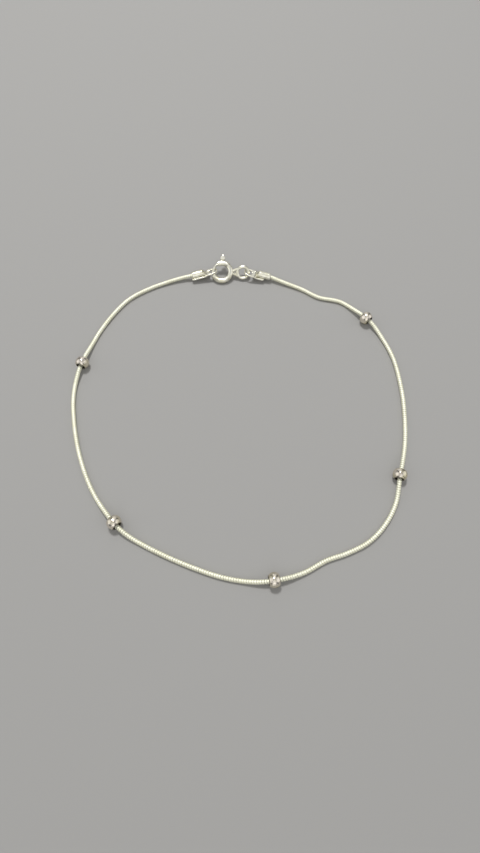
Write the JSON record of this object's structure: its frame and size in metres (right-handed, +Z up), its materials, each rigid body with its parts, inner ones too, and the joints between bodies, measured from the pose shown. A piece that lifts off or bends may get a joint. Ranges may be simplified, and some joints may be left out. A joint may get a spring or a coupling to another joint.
{
  "type": "beaded chain bracelet",
  "caption": "Fine silver snake-chain bracelet threaded with loose polished beads and closed by a spring-ring clasp, lying unworn as a loop",
  "frame": {"origin": "the middle of the whole bracelet's box, on the surface that it lies on", "axes": "+Z up from the surface; +Y towards the clasp; +X to the right seen from above with the clasp at the far side"},
  "size_m": [0.0631, 0.0668, 0.003],
  "materials": {
    "chain_silver": "satin",
    "bead_silver": "polished",
    "clasp_silver": "polished"
  },
  "bodies": {
    "bracelet": {"chain": "chain_silver", "bead_1": "bead_silver", "bead_2": "bead_silver", "bead_3": "bead_silver", "bead_4": "bead_silver", "bead_5": "bead_silver", "end_cap_left": "clasp_silver", "end_cap_right": "clasp_silver", "clasp_ring": "clasp_silver"},
    "bolt": {"clasp_bolt": "clasp_silver"}
  },
  "joints": [
    {"name": "bolt_slide_round", "type": "hinge", "parent": "bracelet", "child": "bolt", "pos_m": [-0.00342, 0.03007, 0.0013], "axis": [0.0142, 0.4065, -0.9135], "range_deg": [0, 58], "stiffness_Nm_per_rad": 0.0005}
  ]
}
